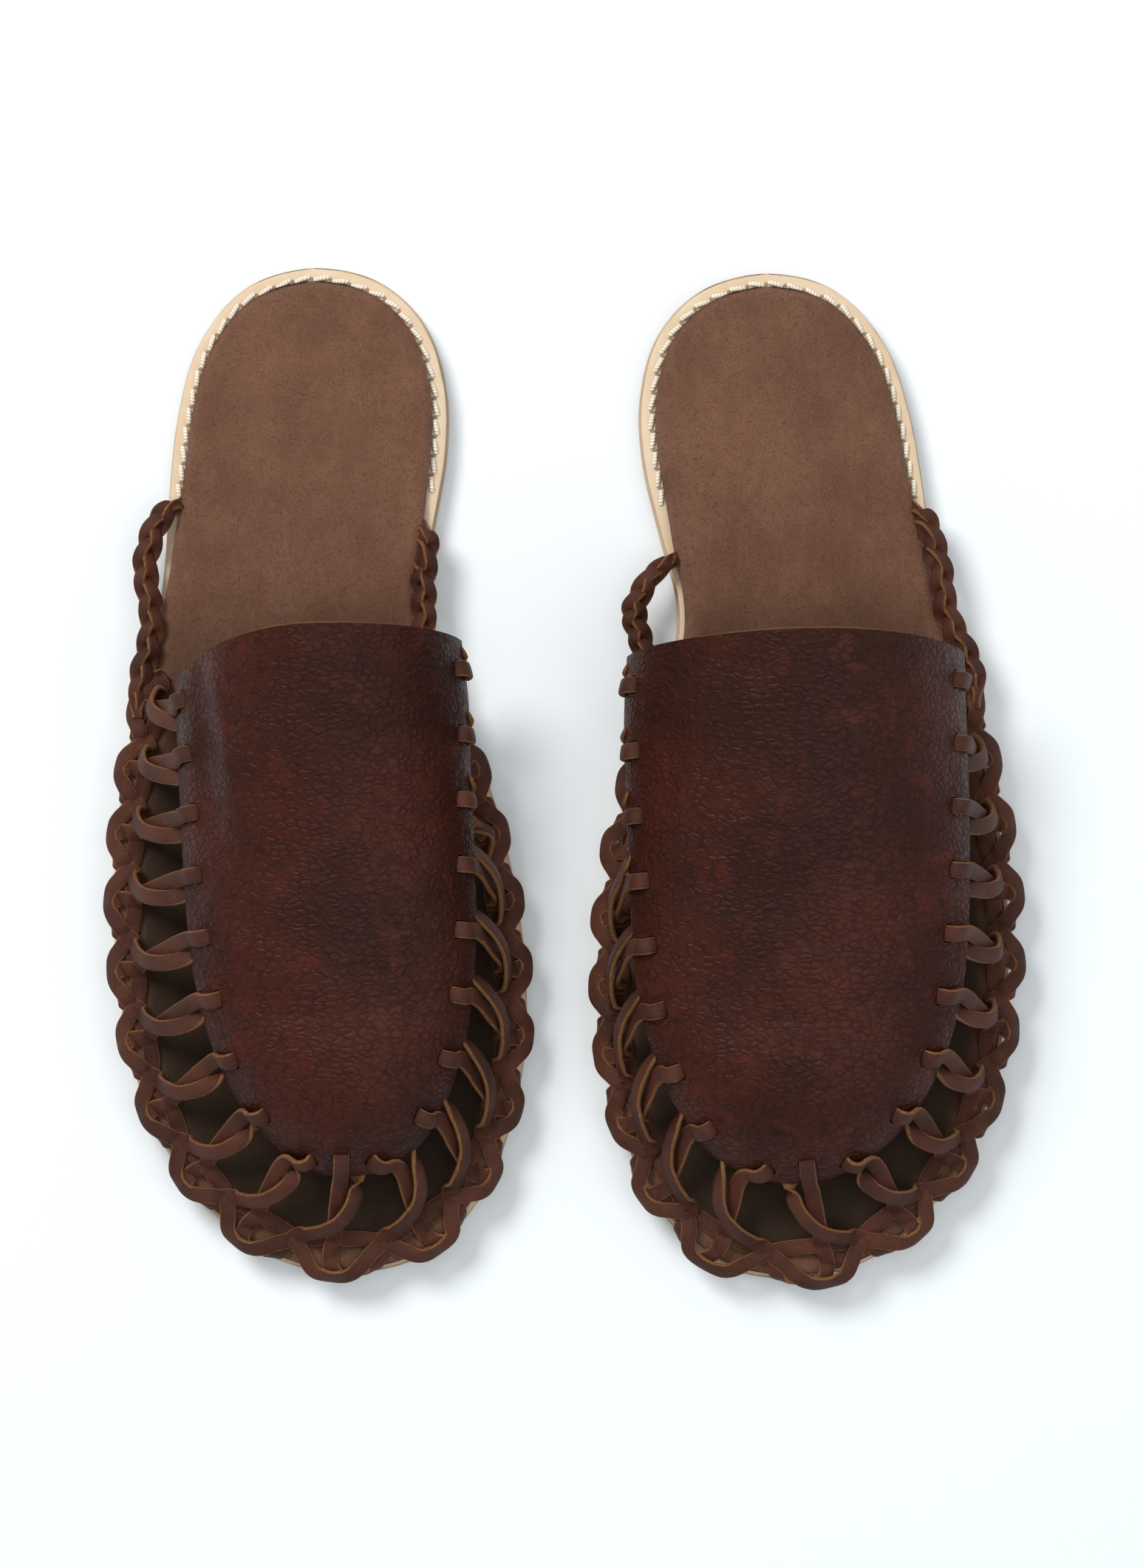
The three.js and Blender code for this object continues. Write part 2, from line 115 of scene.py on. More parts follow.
def catmull(points, closed=False, per_span=12):
    """A smooth run of points through the given ones (centripetal, so it never overshoots)."""
    count = len(points)
    spans = count if closed else count - 1

    def at(i):
        if closed:
            return points[i % count]
        if i < 0:
            return points[0] * 2 - points[1]
        if i >= count:
            return points[-1] * 2 - points[-2]
        return points[i]

    run = []
    for i in range(spans):
        p0, p1, p2, p3 = at(i - 1), at(i), at(i + 1), at(i + 2)
        t1 = max((p1 - p0).length, 1e-4) ** 0.5
        t2 = t1 + max((p2 - p1).length, 1e-4) ** 0.5
        t3 = t2 + max((p3 - p2).length, 1e-4) ** 0.5
        for step in range(per_span):
            t = mix(t1, t2, step / per_span)
            a1 = p0 * ((t1 - t) / t1) + p1 * (t / t1)
            a2 = p1 * ((t2 - t) / (t2 - t1)) + p2 * ((t - t1) / (t2 - t1))
            a3 = p2 * ((t3 - t) / (t3 - t2)) + p3 * ((t - t2) / (t3 - t2))
            b1 = a1 * ((t2 - t) / t2) + a2 * (t / t2)
            b2 = a2 * ((t3 - t) / (t3 - t1)) + a3 * ((t - t1) / (t3 - t1))
            run.append(b1 * ((t2 - t) / (t2 - t1)) + b2 * ((t - t1) / (t2 - t1)))
    if not closed:
        run.append(points[-1].copy())
    return run


class Run:
    """A polyline that answers by share of its length."""

    def __init__(self, points):
        self.points = points
        self.sums = [0.0]
        for a, b in zip(points, points[1:]):
            self.sums.append(self.sums[-1] + (b - a).length)
        self.length = self.sums[-1]

    def _span(self, share):
        target = clamp(share) * self.length
        low, high = 0, len(self.sums) - 2
        while low < high:
            middle = (low + high + 1) // 2
            if self.sums[middle] <= target:
                low = middle
            else:
                high = middle - 1
        step = self.sums[low + 1] - self.sums[low]
        return low, (target - self.sums[low]) / step if step else 0.0

    def point(self, share):
        i, part = self._span(share)
        beyond = self.points[i].lerp(self.points[i + 1], part)
        if share < 0 or share > 1:
            end = share if share < 0 else share - 1
            beyond += self.tangent(share) * end * self.length
        return beyond

    def tangent(self, share):
        i, _ = self._span(share)
        low, high = max(i - 1, 0), min(i + 2, len(self.points) - 1)
        return (self.points[high] - self.points[low]).normalized()


def share_points(shares):
    return [Vector((x * SOLE_WIDTH, -fore * SOLE_LENGTH, 0)) for x, fore in shares]


SOLE_RUN = catmull(share_points(SOLE_SHAPE), closed=True, per_span=14)
OUTER_EDGE_RUN = Run(catmull(share_points(VAMP_OUTER_EDGE)))
INNER_EDGE_RUN = Run(catmull(share_points(VAMP_INNER_EDGE)))


def outline(inset):
    """The sole's outline moved inwards by inset(fore), heel first, outer side first."""
    loop = Run(SOLE_RUN + [SOLE_RUN[0]])
    points = []
    count = 360
    for i in range(count):
        point, along = loop.point(i / count), loop.tangent(i / count)
        inwards = Vector((-along.y, along.x, 0))
        points.append(point + inwards * inset(-point.y))
    return points


def rim_width(fore):
    return mix(HEEL_RIM, BALL_RIM, smoothstep(fore, RIM_NARROWS_FROM, RIM_NARROWS_TO))


def halves(points):
    """The outer and inner halves of an outline, each from the heel to the toe."""
    toe = min(range(len(points)), key=lambda i: points[i].y)
    heel = max(range(len(points)), key=lambda i: points[i].y)
    turned = points[heel:] + points[:heel]
    split = (toe - heel) % len(points)
    return turned[:split + 1], [turned[0]] + turned[:split - 1:-1]


FOOTBED_OUTLINE = outline(rim_width)
FOOTBED_HALVES = dict(zip((-1, 1), halves(FOOTBED_OUTLINE)))
LACED_EDGE = Run(
    [p for p in FOOTBED_HALVES[-1] if -p.y >= LACING_START_FORE]
    + [p for p in FOOTBED_HALVES[1] if -p.y >= LACING_START_FORE][::-1]
)


def beside_footbed(side, fore, out, z):
    """A point beside the footbed's edge on one side, past the edge by out, at height z."""
    half = FOOTBED_HALVES[side]
    i = 0
    while i < len(half) - 2 and -half[i + 1].y < fore:
        i += 1
    along = half[i + 1] - half[i]
    point = half[i] + along * clamp((fore + half[i].y) / max(-along.y, 1e-6))
    along.normalize()
    outwards = Vector((along.y, -along.x, 0)) * (1 if side < 0 else -1)
    point = point + outwards * out
    return Vector((point.x, point.y, z))


# ---------------------------------------------------------------- the two shoes

class Shoe:
    """One shoe: its names, its own small differences, and where the frame puts it."""

    def __init__(self, name, mirrored, vamp_spread, vamp_shift, corner_drop, loosened, tails, seed):
        self.name = name
        self.loosened = loosened
        self.tails = tails
        self.body = f"{name}_shoe"
        self.mirrored = mirrored
        self.vamp_spread = vamp_spread
        self.vamp_shift = vamp_shift
        self.corner_drop = corner_drop
        self.seed = seed
        turn = Matrix.Rotation(TWIST, 4, "Z") @ Matrix.Diagonal((-1 if mirrored else 1, 1, 1, 1))
        local = [turn @ point for point in outline(lambda fore: 0)]
        low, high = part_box(f"{name}_midsole")
        centre = [(min(p[i] for p in local) + max(p[i] for p in local)) / 2 for i in (0, 1)]
        offset = Vector(((low[0] + high[0]) / 2 - centre[0] * MM, (low[1] + high[1]) / 2 - centre[1] * MM, 0))
        self.matrix = Matrix.Translation(offset) @ Matrix.Scale(MM, 4) @ turn

    def level(self, node, top):
        """The height of a CAD node's top or bottom face, in millimetres."""
        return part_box(f"{self.name}_{node}")[1 if top else 0][2] / MM


# Middle of each braided tail as (distance from the heel, out past the footbed's edge), by side
RIGHT_TAILS = {
    -1: [
        (62, -2), (65, 3), (70, 5.4), (76, 6.4), (81, 6.4),
        (87, 4.6), (94, 2.2), (101, 1.4), (112, 1.6), (120, 0),
    ],
    1: [(70, -2), (74, 1), (82, 1.8), (88, 2), (93, 2.2), (99, 1.2), (106, 1), (113, 0), (120, -1.5)],
}
LEFT_TAILS = {
    -1: [(64, -2), (68, 1.4), (76, 2.5), (84, 2.6), (91, 1.6), (98, 2), (105, 3.4), (112, 3.8), (120, 2)],
    1: [(76, -2), (77.5, 4), (81, 9), (87, 13), (93, 13.6), (99, 12), (105, 9.6), (111, 7), (120, 3)],
}

shoes = [
    Shoe(
        "right", mirrored=False, vamp_spread=0.92, vamp_shift=0.021, corner_drop=7,
        loosened=0.6, seed=3.1, tails=RIGHT_TAILS,
    ),
    Shoe(
        "left", mirrored=True, vamp_spread=1.08, vamp_shift=-0.004, corner_drop=0,
        loosened=2.4, seed=17.7, tails=LEFT_TAILS,
    ),
]

FOOTBED_TOP = shoes[0].level("footbed", top=True)
FOOTBED_BOTTOM = shoes[0].level("footbed", top=False)
MIDSOLE_TOP = shoes[0].level("midsole", top=True)
MIDSOLE_BOTTOM = shoes[0].level("midsole", top=False)
OUTSOLE_TOP = shoes[0].level("outsole", top=True)


# ---------------------------------------------------------------- shader maths

class Link:
    """A shader socket that can be added, multiplied and so on, with numbers or other links."""

    def __init__(self, finish, socket):
        self.finish = finish
        self.socket = socket

    def __add__(self, other):
        return self.finish.maths("ADD", self, other)

    def __radd__(self, other):
        return self.finish.maths("ADD", other, self)

    def __sub__(self, other):
        return self.finish.maths("SUBTRACT", self, other)

    def __rsub__(self, other):
        return self.finish.maths("SUBTRACT", other, self)

    def __mul__(self, other):
        return self.finish.maths("MULTIPLY", self, other)

    def __rmul__(self, other):
        return self.finish.maths("MULTIPLY", other, self)

    def __truediv__(self, other):
        return self.finish.maths("DIVIDE", self, other)

    def __pow__(self, other):
        return self.finish.maths("POWER", self, other)

    def band(self, low, high):
        """0 below low, 1 above high, and smooth between."""
        return self.finish.node(
            "MapRange",
            {"interpolation_type": "SMOOTHSTEP"},
            {"Value": self, "From Min": low, "From Max": high},
            "Result",
        )


class Finish:
    """One material, built around a Principled shader."""

    def __init__(self, name, **constants):
        self.material = bpy.data.materials.new(name)
        self.material.use_nodes = True
        self.tree = self.material.node_tree
        self.shader = self.tree.nodes["Principled BSDF"]
        for key, value in constants.items():
            self.shader.inputs[key.replace("_", " ")].default_value = value

    def plug(self, socket, value):
        if isinstance(value, Link):
            self.tree.links.new(value.socket, socket)
        elif isinstance(value, (tuple, list)) and len(value) == 3 and len(socket.default_value) == 4:
            socket.default_value = (*value, 1)
        else:
            socket.default_value = value

    def node(self, kind, settings=None, inputs=None, output=0):
        made = self.tree.nodes.new(f"ShaderNode{kind}")
        for key, value in (settings or {}).items():
            setattr(made, key, value)
        for key, value in (inputs or {}).items():
            self.plug(made.inputs[key], value)
        return Link(self, made.outputs[output])

    def maths(self, operation, a, b):
        return self.node("Math", {"operation": operation}, {0: a, 1: b})

    def colours(self, factor, a, b):
        return self.node("Mix", {"data_type": "RGBA"}, {0: factor, 6: a, 7: b}, 2)

    def where(self, scale=(1, 1, 1)):
        """Object coordinates in millimetres, stretched by scale."""
        spot = self.node("TexCoord", output="Object")
        return self.node("Mapping", {}, {"Vector": spot, "Scale": tuple(s / MM for s in scale)})

    def noise(self, vector, scale, detail=3.0, roughness=0.55, distortion=0.0):
        inputs = {"Vector": vector, "Scale": scale, "Detail": detail}
        inputs |= {"Roughness": roughness, "Distortion": distortion}
        return self.node("TexNoise", {}, inputs)

    def cells(self, vector, scale, feature="F1"):
        return self.node("TexVoronoi", {"feature": feature}, {"Vector": vector, "Scale": scale}, "Distance")

    def map(self, name, part):
        """A coordinate of the piece's own UV map."""
        uv = self.node("UVMap", {"uv_map": name})
        return self.node("SeparateXYZ", {}, {"Vector": uv}, part)

    def bump(self, height, distance, strength=1.0):
        return self.node("Bump", {}, {"Height": height, "Distance": distance * MM, "Strength": strength})

    def set(self, **links):
        for key, value in links.items():
            self.plug(self.shader.inputs[key.replace("_", " ")], value)


# ---------------------------------------------------------------- finishes

def suede_finish():
    """Brown suede: short nap that catches the light in patches, with darker and paler fibres."""
    f = Finish(
        "footbed_suede", Roughness=0.95, Sheen_Weight=0.1, Sheen_Roughness=0.5, Specular_IOR_Level=0.12
    )
    where = f.where()
    patches = f.noise(where, 0.035, 4, 0.6)
    brushed = f.noise(f.where((0.5, 0.16, 0.5)), 0.5, 4, 0.6, 0.6)
    nap = f.noise(where, 1.5, 5, 0.75)
    fibres = f.noise(where, 4.5, 3, 0.7)
    base = f.colours(patches.band(0.35, 0.68), (0.138, 0.062, 0.036), (0.192, 0.092, 0.056))
    mottle = f.noise(where, 0.4, 4, 0.7)
    base = f.colours(brushed.band(0.42, 0.75) * 0.3, base, (0.24, 0.125, 0.08))
    base = f.colours(mottle.band(0.5, 0.72) * 0.5, base, (0.105, 0.045, 0.026))
    base = f.colours(nap.band(0.48, 0.66) * 0.75, base, (0.082, 0.033, 0.018))
    base = f.colours(fibres.band(0.52, 0.7) * 0.6, base, (0.36, 0.2, 0.13))
    # Painted shade: the suede goes nearly black where the footbed's mask says, under the vamp and along the
    # waist.
    dark = f.node("Attribute", {"attribute_name": "soiled"}, {}, "Fac")
    base = f.colours(dark * 0.88, base, (0.02, 0.013, 0.008))
    rough = f.bump(nap * 0.7 + fibres * 0.6, 0.45, 0.9)
    f.set(Base_Color=base, Normal=rough)
    return f.material


def pale_finish(name, light, deep, seed):
    """Natural veg-tanned leather: smooth pale grain on top, fibrous on the cut edge; the edge's darker,
    greyer colour is partly its own and partly painted shade on the faces that look sideways.
    """
    f = Finish(name, Specular_IOR_Level=0.35)
    where = f.where()
    facing = f.node("SeparateXYZ", {}, {"Vector": f.node("NewGeometry", output="Normal")}, "Z")
    side = 1 - facing.band(0.25, 0.75)
    clouds = f.noise(f.where((1, 0.6, 1)), 0.06 + seed, 4, 0.6)
    pores = f.cells(where, 2.6)
    fibre = f.noise(f.where((0.35, 0.35, 3.2)), 0.9, 5, 0.7)
    fuzz = f.noise(where, 3.5, 3, 0.7)
    top = f.colours(clouds.band(0.3, 0.72), deep, light)
    top = f.colours(pores.band(0.05, 0.3) * -0.18 + 0.18, top, tuple(c * 0.62 for c in deep))
    # Partly painted shade: faces that look sideways take this darker, greyer edge colour.
    edge = f.colours(fibre.band(0.35, 0.7), (0.3, 0.215, 0.14), (0.6, 0.45, 0.32))
    edge = f.colours(fuzz.band(0.55, 0.75) * 0.5, edge, (0.2, 0.14, 0.09))
    base = f.colours(side * 0.75, top, edge)
    relief = f.bump(fibre * side + pores * 0.12 + fuzz * side * 0.7, 0.3, 0.5)
    f.set(Base_Color=base, Roughness=0.55 + side * 0.35 + clouds * 0.1, Normal=relief)
    return f.material


def vamp_finish():
    """Dark red-brown pull-up leather: pebbled grain, red where it is stretched, dull in the creases."""
    f = Finish("vamp_grain", Specular_IOR_Level=0.13)
    where = f.where()
    broad = f.noise(where, 0.022, 3, 0.5)
    patches = f.noise(where, 0.1, 4, 0.6, 0.4)
    wobble = f.noise(where, 0.3, 2)
    drift = f.node("TexNoise", {}, {"Vector": where, "Scale": 0.45, "Detail": 2.0}, "Color")
    warped = f.node("VectorMath", {"operation": "MULTIPLY_ADD"}, {0: drift, 1: (1.6, 1.6, 1.6), 2: where})
    laid = f.node("VectorMath", {"operation": "MULTIPLY"}, {0: warped, 1: (0.72, 1.2, 1.0)})
    pebbles = f.cells(laid, 0.47, "DISTANCE_TO_EDGE")
    fine = f.cells(where, 1.9, "DISTANCE_TO_EDGE")
    wrinkles = f.noise(f.where((0.3, 1.0, 0.6)), 0.3, 3, 0.5, 0.9)
    scuffs = f.noise(f.where((0.5, 2.0, 0.5)), 0.6, 5, 0.75)
    groove = 1 - pebbles.band(0.0, 0.17)
    strong = wobble.band(0.3, 0.62)
    base = f.colours(broad.band(0.36, 0.66), (0.03, 0.0078, 0.0045), (0.053, 0.0118, 0.0062))
    base = f.colours(patches.band(0.5, 0.78) * 0.65, base, (0.085, 0.0165, 0.0085))
    # Painted shade: the grooves between the pebbles are darkened in colour, on top of their bump.
    base = f.colours(groove * (strong * 0.45 + 0.15), base, (0.011, 0.0038, 0.0028))
    base = f.colours(scuffs.band(0.66, 0.82) * 0.18, base, (0.12, 0.042, 0.026))
    height = pebbles.band(0.0, 0.3) * (strong * 0.7 + 0.3) * 0.75 + wrinkles * 1.3 + fine.band(0, 0.3) * 0.06
    f.set(
        Base_Color=base,
        Roughness=0.4 + groove * 0.18 - patches.band(0.4, 0.8) * 0.06,
        Normal=f.bump(height, 0.34, 0.7),
    )
    return f.material


def flesh_nodes(f, where):
    """Colour and height of a raw flesh side or cut edge: tan, fibrous, with dark flecks."""
    fibre = f.noise(where, 2.1, 6, 0.8, 0.5)
    tufts = f.noise(where, 0.6, 3, 0.6)
    flecks = f.noise(where, 3.4, 3, 0.7)
    colour = f.colours(fibre.band(0.35, 0.7), (0.125, 0.05, 0.018), (0.28, 0.13, 0.046))
    colour = f.colours(tufts.band(0.55, 0.8) * 0.5, colour, (0.38, 0.205, 0.082))
    colour = f.colours(flecks.band(0.6, 0.75) * 0.75, colour, (0.04, 0.016, 0.008))
    return colour, fibre + flecks * 0.5


def raw_edge_finish(name, shade):
    """The cut edge and underside of the vamp's leather, its flesh colour scaled by shade; on the underside
    this darkening is painted shade.
    """
    f = Finish(name, Roughness=0.95, Specular_IOR_Level=0.15)
    colour, height = flesh_nodes(f, f.where())
    dark = f.colours(0.5, (0.0, 0.0, 0.0), (shade, shade, shade))
    colour = f.node("Mix", {"data_type": "RGBA", "blend_type": "MULTIPLY"}, {0: 1.0, 6: colour, 7: dark}, 2)
    f.set(Base_Color=colour, Normal=f.bump(height, 0.35, 0.8))
    return f.material


def lace_finish():
    """Strap leather: brown grain on its face, tan and fibrous on its edges and flesh side."""
    f = Finish("lace_leather", Specular_IOR_Level=0.22)
    where = f.where()
    across = f.map("strap", "Y")
    along = f.map("strap", "X")
    frayed = across + (f.noise(where, 0.8, 4, 0.75) - 0.5) * 0.11
    raw = f.maths("MAXIMUM", frayed.band(0.385, 0.405), 1 - frayed.band(0.09, 0.11))
    rag = f.noise(where, 1.3, 4, 0.7)
    face_light = f.noise(where, 0.07, 3, 0.55)
    streak = f.noise(where, 0.9, 5, 0.7, 0.8)
    grain = f.cells(where, 2.2, "DISTANCE_TO_EDGE")
    worn = f.maths("ABSOLUTE", across - 0.25, 0).band(0.1, 0.17)
    face = f.colours(face_light.band(0.3, 0.7), (0.042, 0.0118, 0.0058), (0.086, 0.0245, 0.0115))
    face = f.colours(streak.band(0.5, 0.75) * 0.55, face, (0.026, 0.0085, 0.005))
    face = f.colours(rag.band(0.58, 0.8) * 0.35, face, (0.14, 0.052, 0.024))
    face = f.colours(worn * 0.3 * rag.band(0.35, 0.6), face, (0.19, 0.08, 0.038))
    flesh, rough = flesh_nodes(f, where)
    base = f.colours(raw, face, flesh)
    bend = f.maths("SINE", along * 0.9, 0) * 0.08
    height = (1 - raw) * (grain.band(0, 0.25) * 0.35 + streak * 0.8 + bend) + raw * rough * 1.3
    f.set(Base_Color=base, Roughness=0.58 + raw * 0.37 - face_light * 0.1, Normal=f.bump(height, 0.3, 0.7))
    return f.material


def thread_finish():
    """Cream waxed thread with its twist, painted lighter on the ply crowns and darker in the grooves: painted
    highlight and shade.
    """
    f = Finish("seam_thread", Roughness=0.6, Sheen_Weight=0.15, Specular_IOR_Level=0.35)
    ply = f.maths("SINE", (f.map("strap", "X") * 2.4 + f.map("strap", "Y") * 2.0) * math.pi, 0)
    # Painted highlight and shade: the colour follows the twist's bump, light on the crowns and dark in the
    # grooves.
    base = f.colours(ply * 0.5 + 0.5, (0.72, 0.6, 0.42), (0.95, 0.9, 0.78))
    f.set(Base_Color=base, Normal=f.bump(ply, 0.12, 0.8))
    return f.material


def hole_shade_finish():
    """Painted shade for the mouth of a stitch hole: a flat patch darker than the rim."""
    f = Finish("awl_hole_painted_shade", Roughness=1.0, Specular_IOR_Level=0.0)
    spots = f.noise(f.where(), 2.0, 3, 0.6)
    f.set(Base_Color=f.colours(spots, (0.26, 0.17, 0.1), (0.4, 0.28, 0.18)))
    return f.material


def board_finish():
    """Leatherboard: pressed brown fibre."""
    f = Finish("insole_board", Roughness=0.9)
    mash = f.noise(f.where(), 1.1, 5, 0.75)
    f.set(Base_Color=f.colours(mash, (0.2, 0.11, 0.055), (0.42, 0.26, 0.15)), Normal=f.bump(mash, 0.25, 0.6))
    return f.material


def floor_finish():
    f = Finish("studio_floor", Roughness=0.85, Specular_IOR_Level=0.2)
    f.set(Base_Color=(0.83, 0.875, 0.905))
    return f.material


SUEDE = suede_finish()
MIDSOLE_LEATHER = pale_finish("midsole_leather", (0.69, 0.545, 0.39), (0.62, 0.46, 0.3), 0.0)
OUTSOLE_LEATHER = pale_finish("outsole_leather", (0.56, 0.42, 0.28), (0.47, 0.33, 0.2), 0.013)
VAMP_GRAIN = vamp_finish()
VAMP_EDGE = raw_edge_finish("vamp_cut_edge", 1.5)
# Painted shade: the vamp's underside is the cut edge's leather darkened to about a third.
VAMP_FLESH_PAINTED_SHADE = raw_edge_finish("vamp_flesh_side_in_painted_shade", 0.55)
LACE = lace_finish()
THREAD = thread_finish()
AWL_HOLE_SHADE = hole_shade_finish()
BOARD = board_finish()
FLOOR = floor_finish()


# ---------------------------------------------------------------- making pieces

def piece(bm, name, shoe, materials, node=None, sharp=50):
    """Places a shoe's mesh in the frame, gives it its materials and rides it on its shoe."""
    bmesh.ops.transform(bm, matrix=shoe.matrix, verts=bm.verts)
    if shoe.mirrored:
        bmesh.ops.reverse_faces(bm, faces=bm.faces)
    mesh = bpy.data.meshes.new(f"{shoe.name}_{name}")
    bm.to_mesh(mesh)
    bm.free()
    for material in materials:
        mesh.materials.append(material)
    mesh.shade_smooth()
    mesh.set_sharp_from_angle(angle=math.radians(sharp))
    made = bpy.data.objects.new(f"{shoe.name}_{name}", mesh)
    bpy.context.collection.objects.link(made)
    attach(made, shoe.body)
    if node:
        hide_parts(f"{shoe.name}_{node}")
    return made


def bake_modifiers(made):
    """Applies an object's modifiers to its mesh."""
    graph = bpy.context.evaluated_depsgraph_get()
    result = bpy.data.meshes.new_from_object(made.evaluated_get(graph))
    made.modifiers.clear()
    made.data = result


def edge_distance(point, run):
    return min((point.xy - other.xy).length for other in run)


def sole_sheet(bm, points, rows, columns, height):
    """A grid bent to a sole-shaped outline; height(x, y, distance to the edge) gives its z."""
    outer, inner = (Run(half) for half in halves(points))
    made = bmesh.ops.create_grid(bm, x_segments=columns, y_segments=rows, size=0.5)
    for vert in made["verts"]:
        share = 0.5 - 0.5 * math.cos((vert.co.y + 0.5) * math.pi)
        across = math.sin(vert.co.x * math.pi)
        a, b = outer.point(mix(vert.co.y + 0.5, share, 0.35)), inner.point(mix(vert.co.y + 0.5, share, 0.35))
        spot = a.lerp(b, (across + 1) / 2)
        vert.co = (spot.x, spot.y, 0)
    for vert in made["verts"]:
        vert.co.z = height(vert.co, edge_distance(vert.co, points))
    bmesh.ops.remove_doubles(bm, verts=bm.verts, dist=0.002)
    bmesh.ops.recalc_face_normals(bm, faces=bm.faces)
    if sum(face.normal.z for face in bm.faces) < 0:
        bmesh.ops.reverse_faces(bm, faces=bm.faces)


def close_below(bm, drop):
    """Turns a sheet into a slab: the sheet stays on top and drop(co) gives the underside's z."""
    top = list(bm.faces)
    lower = bmesh.ops.duplicate(bm, geom=top)
    faces = [item for item in lower["geom"] if isinstance(item, bmesh.types.BMFace)]
    for item in lower["geom"]:
        if isinstance(item, bmesh.types.BMVert):
            item.co.z = drop(item.co)
    bmesh.ops.reverse_faces(bm, faces=faces)
    rims = [edge for edge in bm.edges if edge.is_boundary]
    bmesh.ops.bridge_loops(bm, edges=rims)
    bmesh.ops.recalc_face_normals(bm, faces=bm.faces)


def ripple(point, scale, seed):
    return noise.noise(Vector((point.x * scale, point.y * scale, point.z * scale + seed)))


STRAP_SECTION = [
    (-1, 0), (-0.97, 0.55), (-0.82, 0.93), (-0.35, 1.06), (0.35, 1.06), (0.82, 0.93), (0.97, 0.55),
    (1, 0), (0.97, -0.6), (0.84, -0.95), (0.35, -1), (-0.35, -1), (-0.84, -0.95), (-0.97, -0.6),
]
ROUND_SECTION = [
    (-math.cos(2 * math.pi * i / 10), math.sin(2 * math.pi * i / 10)) for i in range(10)
]


def swept(bm, stations, section, width, thickness, seed=0.0):
    """A strap along stations of (point, the way its grain face looks), with a UV map and closed ends."""
    uv = bm.loops.layers.uv.get("strap") or bm.loops.layers.uv.new("strap")
    steps, around = len(stations) - 1, len(section)
    frames = []
    travelled = 0.0
    for i, (point, grain) in enumerate(stations):
        before, after = stations[max(i - 1, 0)][0], stations[min(i + 1, steps)][0]
        along = (after - before).normalized()
        across = along.cross(grain).normalized()
        if i:
            travelled += (point - stations[i - 1][0]).length
        frames.append((point, across, across.cross(along), travelled))
    made = bmesh.ops.create_grid(bm, x_segments=steps, y_segments=around, size=0.5)
    fresh = made["verts"]
    places = {vert: (round((vert.co.x + 0.5) * steps), round((vert.co.y + 0.5) * around)) for vert in fresh}
    for face in {face for vert in fresh for face in vert.link_faces}:
        for loop in face.loops:
            i, j = places[loop.vert]
            loop[uv].uv = (frames[i][3], j / around)
    for vert, (i, j) in places.items():
        point, across, up, far = frames[i]
        x, z = section[j % around]
        swell = 1 + 0.05 * noise.noise(Vector((far * 0.25, seed, x)))
        vert.co = point + across * (x * width / 2 * swell) + up * (z * thickness / 2 * swell)
    bmesh.ops.remove_doubles(bm, verts=fresh, dist=1e-4)
    ends = [edge for edge in bm.edges if edge.is_boundary]
    bmesh.ops.holes_fill(bm, edges=ends, sides=0)


def routed(knots, per_span=6):
    """Smooths a list of (point, the way the grain face looks) into stations."""
    points = catmull([point for point, _ in knots], per_span=per_span)
    stations = []
    for i, point in enumerate(points):
        place = i / per_span
        low = min(int(place), len(knots) - 2)
        stations.append((point, knots[low][1].lerp(knots[low + 1][1], smoothstep(place - low, 0, 1))))
    return stations


# ---------------------------------------------------------------- sole

def seam_points(out, z):
    """The seam's line round the heel, beside the footbed, from the outer to the inner side."""
    fores = [62, 53, 45, 37, 29, 22, 15, 9, 4]
    outer = [beside_footbed(-1, fore, out, z) for fore in fores]
    inner = [beside_footbed(1, fore, out, z) for fore in reversed(fores)]
    heel = max(FOOTBED_OUTLINE, key=lambda p: p.y)
    return outer + [Vector((heel.x, heel.y + out, z))] + inner


def make_outsole(shoe):
    points = outline(lambda fore: -0.6)
    bm = bmesh.new()
    sole_sheet(bm, points, 120, 36, lambda co, edge: OUTSOLE_TOP - 0.5 * (1 - smoothstep(edge, 0, 0.9)))
    close_below(bm, lambda co: 0.8 * (1 - smoothstep(edge_distance(co, points), 0, 1.6)))
    made = piece(bm, "outsole_shaped", shoe, [OUTSOLE_LEATHER], "outsole")
    cutter_mesh = bmesh.new()
    run = Run(catmull(seam_points(1.6, 0.6), per_span=5))
    stations = [(run.point(i / 90), UP) for i in range(-2, 93)]
    swept(cutter_mesh, stations, ROUND_SECTION, 2.6, 1.9)
    bmesh.ops.recalc_face_normals(cutter_mesh, faces=cutter_mesh.faces)
    cut_with(made, cutter_mesh, shoe)
    return made


def cut_with(made, cutter_mesh, shoe):
    """Cuts a shoe's mesh out of a piece and drops the cutter."""
    bmesh.ops.transform(cutter_mesh, matrix=shoe.matrix, verts=cutter_mesh.verts)
    bmesh.ops.recalc_face_normals(cutter_mesh, faces=cutter_mesh.faces)
    mesh = bpy.data.meshes.new("cutter")
    cutter_mesh.to_mesh(mesh)
    cutter_mesh.free()
    cutter = bpy.data.objects.new("cutter", mesh)
    bpy.context.collection.objects.link(cutter)
    cut = made.modifiers.new("cut", "BOOLEAN")
    cut.operation = "DIFFERENCE"
    cut.solver = "EXACT"
    cut.object = cutter
    bake_modifiers(made)
    bpy.data.objects.remove(cutter)
    made.data.shade_smooth()
    made.data.set_sharp_from_angle(angle=math.radians(35))


def make_midsole(shoe):
    points = outline(lambda fore: 0)

    def height(co, edge):
        round_over = 0.9 * (1 - math.sqrt(clamp(1 - (1 - clamp(edge / 0.9)) ** 2)))
        return MIDSOLE_TOP - round_over + 0.08 * ripple(co, 0.12, shoe.seed)

    bm = bmesh.new()
    sole_sheet(bm, points, 140, 40, height)
    close_below(bm, lambda co: MIDSOLE_BOTTOM + 0.3 * (1 - smoothstep(edge_distance(co, points), 0, 0.5)))
    return piece(bm, "midsole_shaped", shoe, [MIDSOLE_LEATHER], "midsole")


